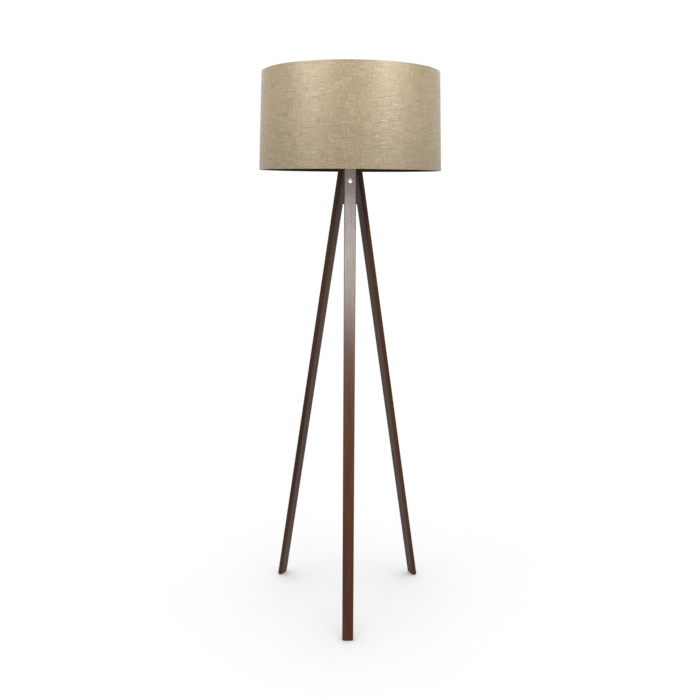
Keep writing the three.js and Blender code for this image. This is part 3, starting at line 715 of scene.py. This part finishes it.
def square_to_leg(azimuth, radius, height):
    """Puts a piece drawn along +Z square to the leg's faces, at a radius and height."""
    lean = Matrix.Rotation(math.pi / 2 - LEG_TILT, 4, "X")
    return around_z(azimuth) @ Matrix.Translation((0, -radius, height)) @ lean


def leg_inner(height):
    return leg_outer(height) - LEG_THICKNESS


def hub_section(height, inset):
    corners = []
    for azimuth in LEG_AZIMUTH.values():
        reach = leg_inner(height) - HUB_GAP - inset
        half = HUB_HALF_WIDTH - 0.6 * inset
        for x in (-half, half):
            corners.append((around_z(azimuth) @ Vector((x, -reach, height))).to_tuple())
    ring = softened(corners, 1.2 * MM)
    per_corner = len(ring) // len(corners)
    result = []
    for i, here in enumerate(ring):
        after = ring[(i + 1) % len(ring)]
        ends_a_corner = (i + 1) % per_corner == 0
        pieces = 5 if ends_a_corner else 1
        result += [here.lerp(after, k / pieces) for k in range(pieces)]
    return result


def bore_section(outer, height, radius):
    return [Vector((p.x, p.y, 0)).normalized() * radius + Vector((0, 0, height)) for p in outer]


def make_hub():
    soft = 1.0 * MM
    wide = hub_section(HUB_BOTTOM, soft)
    top = hub_section(LEG_TOP, soft)
    rings = [bore_section(wide, HUB_BOTTOM + soft, HUB_BORE)]
    rings.append(bore_section(wide, HUB_BOTTOM, HUB_BORE + 0.6 * soft))
    rings.append(wide)
    rings.append(hub_section(HUB_BOTTOM + 0.3 * soft, 0.3 * soft))
    for i in range(13):
        low = HUB_BOTTOM + soft
        high = LEG_TOP - soft
        rings.append(hub_section(low + (high - low) * i / 12, 0))
    rings.append(hub_section(LEG_TOP - 0.3 * soft, 0.3 * soft))
    rings.append(top)
    rings.append(bore_section(top, LEG_TOP, HUB_BORE + 0.6 * soft))
    rings.append(bore_section(top, LEG_TOP - soft, HUB_BORE))
    piece = make_piece("hub", loft(rings, close=True), "stand", "hub_wood", "hub_block")
    add_grain(piece, lambda point: point)


def make_bolt(side, azimuth):
    """Flat furniture bolt: turned head with a hexagon socket, threaded shank."""
    tip = -24 * MM
    head_low = 0.3 * MM
    head_top = head_low + 3 * MM
    socket_floor = head_top - 1.9 * MM
    socket_corner = 2.3 * MM
    socket_mouth = 1.08 * socket_corner
    pitch = 1 * MM
    outline = [(1e-8, tip), (BOLT_SHANK - 0.5 * MM, tip)]
    for turn in range(14):
        root = tip + 0.5 * MM + turn * pitch
        outline += [(BOLT_SHANK - 0.45 * MM, root), (BOLT_SHANK, root + 0.5 * pitch)]
    outline += [
        (BOLT_SHANK, -9 * MM), (BOLT_SHANK, head_low),
        (BOLT_HEAD - 0.25 * MM, head_low), (BOLT_HEAD, head_low + 0.25 * MM),
        (BOLT_HEAD, head_low + 1.7 * MM), (BOLT_HEAD - 0.2 * MM, head_low + 2.2 * MM),
        (BOLT_HEAD - 0.9 * MM, head_low + 2.8 * MM), (BOLT_HEAD - 1.5 * MM, head_top),
        (socket_corner + 0.7 * MM, head_top), (socket_mouth, head_top - 0.04 * MM),
        (socket_corner, head_top - 0.25 * MM), (socket_corner, socket_floor),
        (0.8 * MM, socket_floor - 0.15 * MM), (1e-8, socket_floor - 0.3 * MM),
    ]

    def socket(angle, radius, height):
        in_socket = height >= socket_floor and radius <= socket_mouth
        return hexagon(radius, angle) if in_socket else radius

    shape = revolve(outline, 48, socket)
    place = square_to_leg(azimuth, leg_outer(BOLT_HEIGHT), BOLT_HEIGHT)
    return make_piece(
        f"bolt_{side}", shape, "stand", "nickel", f"leg_bolt_{side}", place, sharp=30,
    )


def make_insert(side, azimuth):
    height = BOLT_HEIGHT - LEG_THICKNESS * math.sin(LEG_TILT) * math.cos(LEG_TILT)
    low = -INSERT_LENGTH - 0.3 * MM
    high = -0.6 * MM
    outline = dense(tube_outline(3.3 * MM, 4.7 * MM, low, high, 0.3 * MM), 0.3 * MM, low, high)
    cut = thread(2.2 * MM, 0.7 * MM, low + 0.6 * MM, high - 0.8 * MM, 4 * MM)
    shape = revolve(outline, 40, cut)
    place = square_to_leg(azimuth, leg_inner(height), height)
    make_piece(f"insert_{side}", shape, "stand", "zinc_steel", f"insert_nut_{side}", place)


def make_dowel(side, azimuth):
    half = 9 * MM
    radius = 3 * MM
    outline = dense(
        [(0, -half), (radius - 0.7 * MM, -half), (radius, -half + 1.1 * MM),
         (radius, half - 1.1 * MM), (radius - 0.7 * MM, half), (0, half)],
        2 * MM, -half, half,
    )
    flutes = ribs(16, 0.3 * MM, -half + 1.2 * MM, half - 1.2 * MM, 2.6 * MM)
    place = square_to_leg(azimuth, leg_inner(DOWEL_HEIGHT), DOWEL_HEIGHT)
    shape = revolve(outline, 96, flutes)
    piece = make_piece(f"dowel_{side}", shape, "stand", "beech_wood", f"leg_dowel_{side}", place)
    back = place.inverted()
    add_grain(piece, lambda point: back @ point)


# ------------------------------------------------------------------ threaded tube and its fittings

def make_threaded_tube():
    """Lamp tube with a thread at each end and a plain middle."""
    low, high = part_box("nipple")[0].z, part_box("nipple")[1].z
    middle = (low + high) / 2
    outer = 5 * MM
    pitch = 1 * MM
    wall_depth = 4.8 * MM
    threaded_up_to = low + 15 * MM
    threaded_from = high - 14 * MM
    plain_middle = [Vector((outer, threaded_up_to)), Vector((outer, threaded_from))]
    outline = []
    for point in tube_outline(3.8 * MM, outer, low, high, 0.35 * MM):
        climbs_outer_wall = outline and outline[-1].y < middle < point.y
        if climbs_outer_wall:
            outline += plain_middle
        outline.append(point)
    outline = dense(outline, pitch / 8, low, threaded_up_to)
    outline = dense(outline, pitch / 8, threaded_from, high)
    cut_low = thread(pitch, 0.5 * MM, low + 0.3 * MM, threaded_up_to, wall_depth)
    cut_high = thread(pitch, 0.5 * MM, threaded_from, high - 0.3 * MM, wall_depth)

    def cut(angle, radius, height):
        if height < middle:
            return cut_low(angle, radius, height)
        return cut_high(angle, radius, height)

    make_piece("threaded_tube", revolve(outline, 36, cut), "stand", "zinc_steel", "nipple")


def make_washers():
    for node, bore in (("seat_washer", 5.3), ("nipple_washer", 5.3), ("cord_bush", 3.3)):
        box_low, box_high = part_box(node)
        outline = tube_outline(bore * MM, box_high.x, box_low.z, box_high.z, 0.45 * MM)
        slot = "black_plastic" if node == "cord_bush" else "zinc_steel"
        make_piece(f"{node}_turned", revolve(outline, 64), "stand", slot, node)


def make_nut():
    box_low, box_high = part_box("nipple_nut")
    low, high = box_low.z, box_high.z
    bore = 5.3 * MM
    mouth = 5.7 * MM
    corner = box_high.y
    flat = corner * math.cos(TURN / 12)
    halfway = (flat + corner) / 2
    chamfer = 0.7 * MM
    outline = [
        (bore, low + 0.4 * MM), (mouth, low), (flat - 0.2 * MM, low),
        (halfway, low + 0.5 * chamfer), (corner, low + chamfer),
        (corner, high - chamfer), (halfway, high - 0.5 * chamfer),
        (flat - 0.2 * MM, high), (mouth, high), (bore, high - 0.4 * MM),
    ]

    def flats(angle, radius, height):
        return min(radius, hexagon(corner, angle))

    make_piece("nut", revolve(outline, 96, flats), "stand", "zinc_steel", "nipple_nut", sharp=25)


# ------------------------------------------------------------------ lampholder

HOLDER_BORE = 5.3 * MM
HOLDER_CAVITY = 17.3 * MM
E27_PITCH = 25.4 / 7 * MM


def make_holder_cup():
    """Base cup: a narrow neck, a shoulder, and a ribbed wall to grip."""
    base_low, base_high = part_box("lampholder_base")
    low, high, radius = base_low.z, base_high.z, base_high.x
    neck = 9 * MM
    shoulder = low + 12.4 * MM
    cavity_floor = low + 7.4 * MM
    outline = softened([
        (HOLDER_BORE, low), (neck, low), (neck, low + 5.4 * MM), (radius, shoulder),
        (radius, high), (HOLDER_CAVITY, high), (HOLDER_CAVITY, shoulder + 2 * MM),
        (neck - 1 * MM, cavity_floor), (HOLDER_BORE, cavity_floor),
    ], 1.2 * MM)
    outline = dense(outline, 0.5 * MM, shoulder, high)
    grip = ribs(60, 0.5 * MM, shoulder + 2 * MM, high - 1 * MM, 18.5 * MM)
    shape = revolve(outline, 360, grip)
    make_piece("holder_cup", shape, "stand", "black_plastic", "lampholder_base")


def make_holder_sleeve():
    """Sleeve with the coarse outer thread that the shade rings screw on to."""
    sleeve_low, sleeve_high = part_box("lampholder_sleeve")
    low, high, crest = sleeve_low.z, sleeve_high.z, sleeve_high.x
    mouth = 14.1 * MM
    outline = softened([
        (HOLDER_CAVITY, low), (crest, low), (crest, high - 1 * MM), (crest - 1.2 * MM, high),
        (mouth, high), (mouth, high - 2 * MM), (HOLDER_CAVITY, high - 2 * MM),
    ], 0.5 * MM)
    outline = dense(outline, 0.4 * MM, low, high)
    cut = thread(4 * MM, 0.9 * MM, low + 0.8 * MM, high - 1 * MM, 18.9 * MM)
    shape = revolve(outline, 96, cut)
    make_piece("holder_sleeve", shape, "stand", "black_plastic", "lampholder_sleeve")


def make_holder_thread():
    """Screw shell, with the socket's thread rolled into it from above the insulator."""
    shell_low, shell_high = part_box("lampholder_screw_shell")
    low, high = shell_low.z, shell_high.z
    thread_low = low + 8.3 * MM
    outline = tube_outline(13.59 * MM, shell_high.x, low, high, 0.2 * MM)
    outline = dense(outline, 0.4 * MM, low, high)

    def rolled(angle, radius, height):
        wave = 0.5 - 0.5 * math.cos(TURN * height / E27_PITCH - angle)
        return radius - 1.1 * MM * wave * fade(height, thread_low, high, E27_PITCH / 2)

    shape = revolve(outline, 72, rolled)
    make_piece("holder_thread", shape, "stand", "brass", "lampholder_screw_shell")


# ------------------------------------------------------------------ shade rings, carrier and arms

ARM_RADIUS = 1.6 * MM
WELD_SWELL = {0: 0.7, 1: 1.22, 2: 1.22, 3: 1.08}
ARM_AZIMUTH = {"back": 180, "left": 300, "right": 60}


def make_shade_rings():
    for node, body in (("shade_ring_lower", "stand"), ("shade_ring_upper", "shade_ring")):
        low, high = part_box(node)
        bore = 20.1 * MM
        collar = 23.1 * MM
        flange = 2 * MM
        if node == "shade_ring_lower":
            points = [
                (bore, low.z), (collar, low.z), (collar, high.z - flange),
                (high.x, high.z - flange), (high.x, high.z), (bore, high.z),
            ]
        else:
            points = [
                (bore, low.z), (high.x, low.z), (high.x, low.z + flange),
                (collar, low.z + flange), (collar, high.z), (bore, high.z),
            ]
        outline = dense(softened(points, 0.4 * MM), 0.4 * MM, low.z, high.z)
        notch = ribs(24, 1.1 * MM, low.z - 2 * MM, high.z + 2 * MM, 27 * MM)
        shape = revolve(outline, 288, notch)
        make_piece(f"{node}_turned", shape, body, "black_plastic", node)
    low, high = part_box("shade_carrier_ring")
    outline = tube_outline(20.6 * MM, high.x, low.z, high.z, 0.5 * MM)
    make_piece("carrier_ring", revolve(outline, 120), "shade", "black_wire", "shade_carrier_ring")


def bend(start, corner, end):
    """A curve that leaves start towards the corner and comes into end from it."""
    steps = 8
    points = []
    for i in range(steps + 1):
        t = i / steps
        points.append(start * (1 - t) ** 2 + corner * 2 * t * (1 - t) + end * t ** 2)
    return points


def make_arm(side, azimuth):
    """Round wire from the bottom ring, bent twice and welded to the carrier's edge."""
    low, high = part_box("shade_carrier_arm_back")
    outer_height = low.z + ARM_RADIUS
    inner_height = high.z - ARM_RADIUS
    outer = Vector((0, -high.y, outer_height))
    elbow = Vector((0, -228 * MM, outer_height))
    knee = Vector((0, -48 * MM, inner_height))
    inner = Vector((0, -low.y, inner_height))
    level_reach = Vector((0, 6 * MM, 0))
    slope_reach = (knee - elbow).normalized() * 12 * MM
    landing = knee + level_reach
    path = [outer.lerp(elbow, k / 6) for k in range(4)]
    path += bend(elbow - level_reach, elbow, elbow + slope_reach)
    path += [(elbow + slope_reach).lerp(knee - slope_reach, k / 24) for k in range(1, 24)]
    path += bend(knee - slope_reach, knee, landing)
    path += [landing.lerp(inner, k / 5) for k in range(1, 6)]
    rings = []
    sides = 16
    for i, here in enumerate(path):
        before = path[max(i - 1, 0)]
        after = path[min(i + 1, len(path) - 1)]
        along = (after - before).normalized()
        normal = along.cross(Vector((1, 0, 0)))
        to_weld = len(path) - 1 - i
        thickness = ARM_RADIUS * WELD_SWELL.get(to_weld, 1.0)
        if i == 0:
            thickness *= 0.7
        rings.append([
            here + Vector((1, 0, 0)) * thickness * math.cos(TURN * k / sides)
            + normal * min(thickness, ARM_RADIUS) * math.sin(TURN * k / sides)
            for k in range(sides)
        ])
    make_piece(
        f"carrier_arm_{side}", loft(rings), "shade", "black_wire", f"shade_carrier_arm_{side}",
        around_z(azimuth),
    )


# ------------------------------------------------------------------ shade

WIRE_RADIUS = 1.5 * MM
CLOTH_THICKNESS = 0.5 * MM
LINER_DEPTH = 1.0 * MM
LINER_THICKNESS = 0.5 * MM
SEAM_WIDTH = 12 * MM
SEAM_STEP = 0.35 * MM


def shade_radius(height):
    share = (height - SHADE_BOTTOM) / (SHADE_TOP - SHADE_BOTTOM)
    return BOTTOM_RADIUS + (TOP_RADIUS - BOTTOM_RADIUS) * share


def round_angle(point):
    """Angle round the shade, 0 at the front and half a turn at the seam."""
    return math.atan2(point.x, -point.y)


def add_cloth_uv(piece):
    """UV in metres: round the shade from its front, and up it."""
    layer = piece.data.uv_layers.new(name="cloth")
    middle = (BOTTOM_RADIUS + TOP_RADIUS) / 2
    vertices = piece.data.vertices
    for polygon in piece.data.polygons:
        centre = round_angle(polygon.center)
        for loop_index in polygon.loop_indices:
            point = vertices[piece.data.loops[loop_index].vertex_index].co
            angle = round_angle(point)
            angle -= TURN * round((angle - centre) / TURN)
            depth = shade_radius(point.z) - math.hypot(point.x, point.y)
            layer.data[loop_index].uv = (angle * middle, point.z + depth)


def skin_angles():
    """Even steps round the shade, closer together at the two edges of the back seam."""
    angles = [TURN * i / 360 for i in range(360)]
    for edge in (-SEAM_WIDTH / 2, SEAM_WIDTH / 2):
        for offset in (-1.2, -0.3, 0.3, 1.2):
            angles.append(TURN / 2 + (edge + offset * MM) / BOTTOM_RADIUS)
    return sorted(angles)


def make_skin(name, depth, thickness, slot, node, seam_step):
    """A thin closed shell between the rims, with its overlap seam at the back."""
    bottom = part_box(node)[0].z
    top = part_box(node)[1].z
    rows = 48
    outer = []
    inner = []
    for i in range(rows + 1):
        height = bottom + (top - bottom) * i / rows
        outer_ring = []
        inner_ring = []
        for angle in skin_angles():
            outward = Vector((math.sin(angle), -math.cos(angle), 0))
            along = (angle - TURN / 2) * BOTTOM_RADIUS
            lifted = seam_step * fade(along, -SEAM_WIDTH / 2, SEAM_WIDTH / 2, 0.5 * MM)
            middle = outward * (shade_radius(height) - depth) + Vector((0, 0, height))
            wave = 0.12 * MM * noise.noise(middle * 9) * fade(height, bottom, top, 20 * MM)
            outer_ring.append(middle + outward * (lifted + wave))
            inner_ring.append(middle + outward * (wave - thickness))
        outer.append(outer_ring)
        inner.append(inner_ring)
    piece = make_piece(name, loft(outer + inner[::-1], close=True), "shade", slot, node)
    add_cloth_uv(piece)
    return piece


def make_hem(name, rim, inwards, node):
    """The cloth's turned-in edge: flush outside, across the rim, and back over the wire, where
    it is as dark as the lining."""
    wire_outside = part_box(node.replace("hem", "wire"))[1].x
    inner_face = wire_outside - 2 * WIRE_RADIUS - 0.2 * MM
    flush = rim + inwards * 0.9 * MM
    web = rim + inwards * CLOTH_THICKNESS
    short = rim + inwards * 3.6 * MM
    outline = softened([
        (inner_face - CLOTH_THICKNESS, rim),
        (shade_radius(rim), rim),
        (shade_radius(flush), flush),
        (shade_radius(flush) - CLOTH_THICKNESS, flush),
        (shade_radius(flush) - 1.4 * CLOTH_THICKNESS, web),
        (inner_face, web),
        (inner_face, short),
        (inner_face - CLOTH_THICKNESS, short),
    ], 0.6 * MM)
    piece = make_piece(name, revolve(outline, 300), "shade", "hem_linen", node)
    add_cloth_uv(piece)
    piece.data.materials.append(MATERIALS["dark_liner"])
    for polygon in piece.data.polygons:
        turned_back = math.hypot(*polygon.center.xy) < inner_face + 0.3 * MM
        polygon.material_index = 1 if turned_back else 0
    return piece


def make_rim_wire(node):
    low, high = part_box(node)
    centre = high.x - WIRE_RADIUS
    middle = (low.z + high.z) / 2
    sides = 12
    outline = []
    for k in range(sides):
        angle = TURN * k / sides
        radius = centre + WIRE_RADIUS * math.cos(angle)
        outline.append((radius, middle + WIRE_RADIUS * math.sin(angle)))
    make_piece(node.replace("shade", "rim"), revolve(outline, 240), "shade", "black_wire", node)


def make_shade():
    cloth = make_skin("shade_cloth", 0, CLOTH_THICKNESS, "shade_linen", "shade_fabric", SEAM_STEP)
    make_skin("shade_lining", LINER_DEPTH, LINER_THICKNESS, "dark_liner", "shade_liner", 0)
    bottom_hem = make_hem("hem_bottom", SHADE_BOTTOM, 1, "shade_bottom_hem")
    top_hem = make_hem("hem_top", SHADE_TOP, -1, "shade_top_hem")
    make_rim_wire("shade_bottom_wire")
    make_rim_wire("shade_top_wire")


# ------------------------------------------------------------------ bulb

BULB_WALL = 1.2 * MM


def make_bulb_cap():
    """Screw cap, its glass insulator and its contact button."""
    rim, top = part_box("bulb_cap")[0].z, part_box("bulb_cap")[1].z
    thread_low = rim + 1.9 * MM
    thread_high = top - 3 * MM
    root = 12.07 * MM
    crest = 13.17 * MM
    collar = 13.2 * MM
    inside = 11.6 * MM
    outline = [
        (8.4 * MM, rim), (9 * MM, rim), (root, thread_low), (root, thread_high),
        (collar, top - 1.5 * MM), (collar, top), (inside, top), (inside, thread_low),
    ]
    outline = dense(outline, 0.3 * MM, thread_low, thread_high)

    def cap_thread(angle, radius, height):
        if radius < 12 * MM or height > thread_high:
            return radius
        wave = 0.5 + 0.5 * math.cos(TURN * height / E27_PITCH - angle)
        return radius + (crest - root) * wave * fade(height, thread_low, thread_high, E27_PITCH / 2)

    make_piece("bulb_thread", revolve(outline, 72, cap_thread), "bulb", "cap_metal", "bulb_cap")

    low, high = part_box("bulb_cap_insulator")[0].z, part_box("bulb_cap_insulator")[1].z
    outline = softened([(3 * MM, low), (6 * MM, low), (8.6 * MM, high), (3 * MM, high)], 0.5 * MM)
    make_piece("bulb_glass", revolve(outline, 48), "bulb", "cap_glass", "bulb_cap_insulator")

    low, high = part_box("bulb_contact")[0].z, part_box("bulb_contact")[1].z
    outline = [
        (0, low), (1.2 * MM, low + 0.03 * MM), (2.4 * MM, low + 0.15 * MM),
        (3.6 * MM, low + 0.36 * MM), (4.5 * MM, high), (0, high),
    ]
    make_piece("bulb_button", revolve(outline, 40), "bulb_tip", "cap_metal", "bulb_contact")


def make_bulb_body():
    """Flared plastic housing between the cap and the dome."""
    low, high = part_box("bulb_housing")[0].z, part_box("bulb_housing")[1].z
    knots = [
        (13.6, 0), (14.0, 2), (14.9, 6), (16.9, 11.5), (19.8, 17.5), (22.9, 23.5), (25.9, 30),
        (28.0, 35.2), (28.6, 37.2),
    ]
    outer = [Vector((radius * MM, low + height * MM)) for radius, height in knots]
    outer[-1].y = high
    inner = [Vector((point.x - BULB_WALL, point.y)) for point in reversed(outer)]
    outline = softened(outer + inner, 2.2 * MM)
    make_piece("bulb_body", revolve(outline, 96), "bulb", "white_plastic", "bulb_housing")


def make_bulb_dome():
    low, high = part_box("bulb_diffuser")[0].z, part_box("bulb_diffuser")[1].z
    ball = 30 * MM
    centre = high - ball
    start = -math.asin((centre - low) / ball)
    steps = 32
    sweep = [start + (math.pi / 2 - start) * i / steps for i in range(steps + 1)]
    outer = [Vector((ball * math.cos(a), centre + ball * math.sin(a))) for a in sweep]
    thin = ball - BULB_WALL
    inner = [Vector((thin * math.cos(a), centre + thin * math.sin(a))) for a in reversed(sweep)]
    outer[-1].x = 0
    inner[0].x = 0
    inner[-1].y = low
    make_piece("bulb_dome", revolve(outer + inner, 96), "bulb", "opal_plastic", "bulb_diffuser")


# ------------------------------------------------------------------ build

make_camera()
floor = make_floor(floor_paint())
legs = {}
bolts = {}
for offset, (side, azimuth) in enumerate(LEG_AZIMUTH.items()):
    legs[side] = make_leg(side, azimuth, 1.7 * offset)
    bolts[side] = make_bolt(side, azimuth)
    make_glide(side, azimuth)
    make_insert(side, azimuth)
    make_dowel(side, azimuth)
make_hub()
make_threaded_tube()
make_washers()
make_nut()
make_holder_cup()
make_holder_sleeve()
make_holder_thread()
make_shade_rings()
for side, azimuth in ARM_AZIMUTH.items():
    make_arm(side, azimuth)
make_shade()
make_bulb_cap()
make_bulb_body()
make_bulb_dome()
make_light(floor, legs["front"], bolts["front"])

for part in frame["record"]["subparts"]:
    node = frame["nodes"][part["node"]]
    for material_slot in node.material_slots:
        material_slot.material = MATERIALS[part["material_slot"]]
